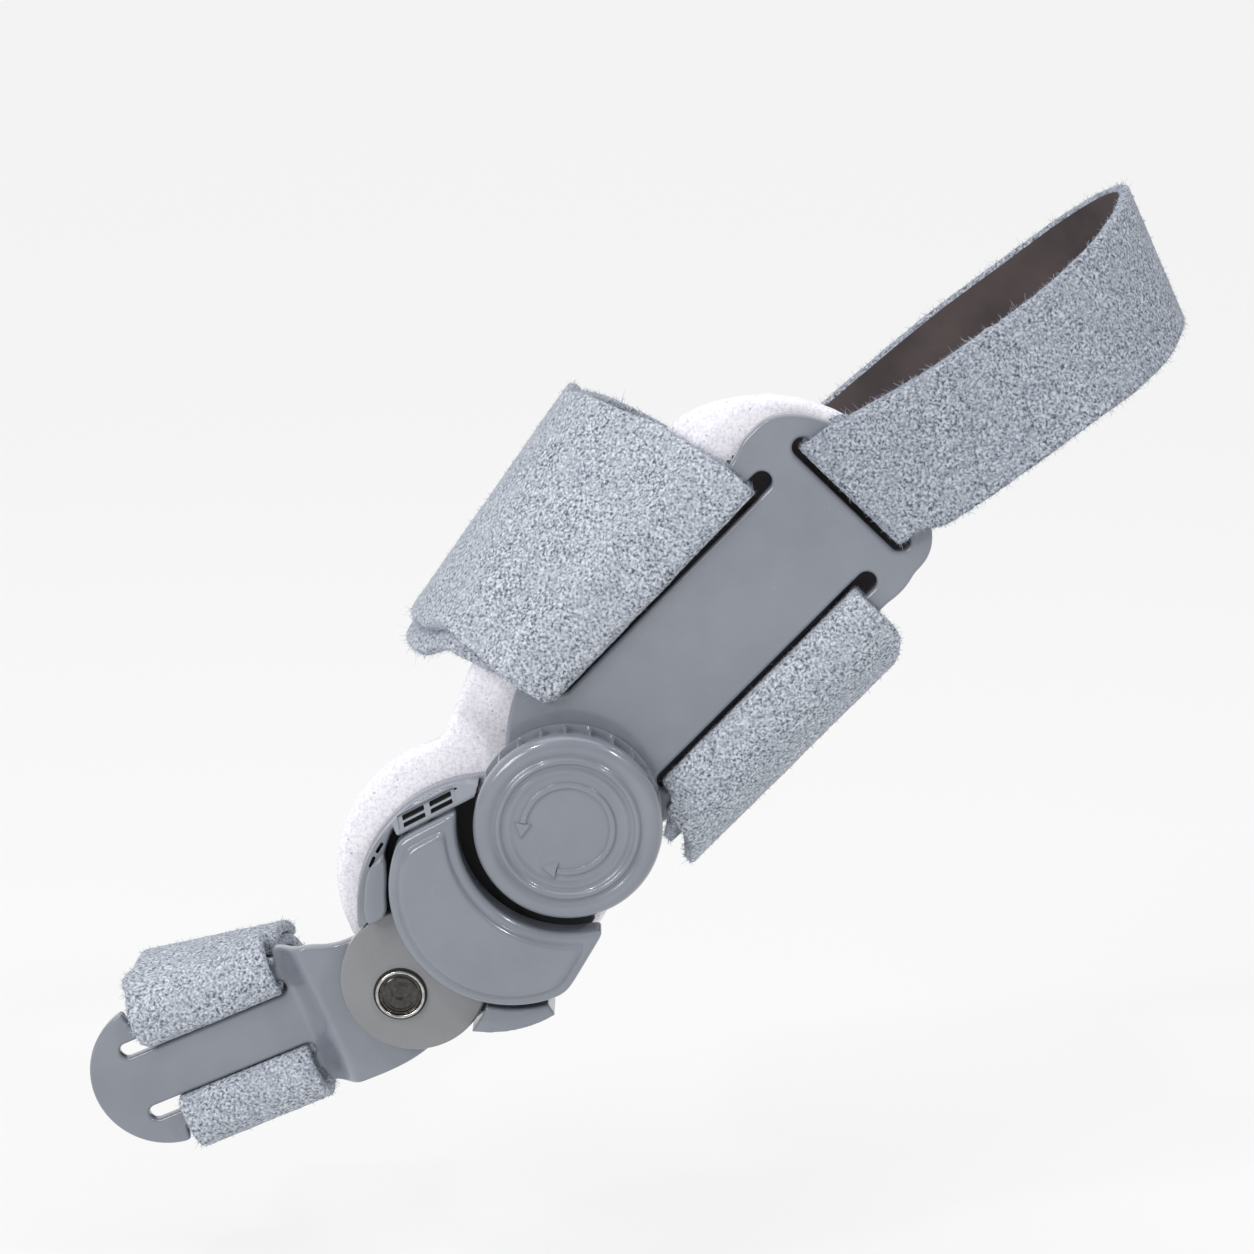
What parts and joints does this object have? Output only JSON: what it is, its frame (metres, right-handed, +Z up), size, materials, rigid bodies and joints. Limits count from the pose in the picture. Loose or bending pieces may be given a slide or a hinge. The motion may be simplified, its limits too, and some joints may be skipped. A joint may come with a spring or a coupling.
{
  "type": "bunion corrector",
  "caption": "Bunion corrector: moulded side plate with foam pad, adjusting dial, hinged toe arm and loop-fabric straps for toe, midfoot and heel.",
  "frame": {"origin": "the mount foot: the middle of the foam pad's inner face between the two long slots, where the pad lies on the inner side of the foot", "axes": "+X towards the heel, -Y outward from the foot, +Z up"},
  "size_m": [0.2037, 0.0971, 0.176],
  "materials": {
    "moulded": "satin moulded plastic",
    "hub": "satin moulded plastic, warmer grey",
    "foam": "perforated foam sheet with a soft skin",
    "loop_fabric": "brushed loop fabric, blue-grey melange",
    "steel": "stamped rivet, dark centre and bright rim"
  },
  "bodies": {
    "brace": {"side_plate": "moulded", "joint_base": "moulded", "crescent_cover": "moulded", "foam_pad": "foam", "midfoot_strap": "loop_fabric", "heel_strap": "loop_fabric", "hub_disc": "hub", "rivet_button": "steel"},
    "dial": {"dial": "moulded"},
    "toe": {"toe_arm": "moulded", "toe_strap": "loop_fabric"}
  },
  "joints": [
    {"name": "dial_turn", "type": "hinge", "parent": "brace", "child": "dial", "pos_m": [-0.02601, -0.0135, -0.03327], "axis": [0, -1, 0], "continuous": true},
    {"name": "toe_flex", "type": "hinge", "parent": "brace", "child": "toe", "pos_m": [-0.05656, -0.0071, -0.06633], "axis": [0, 1, 0], "range_deg": [-30, 15]}
  ]
}
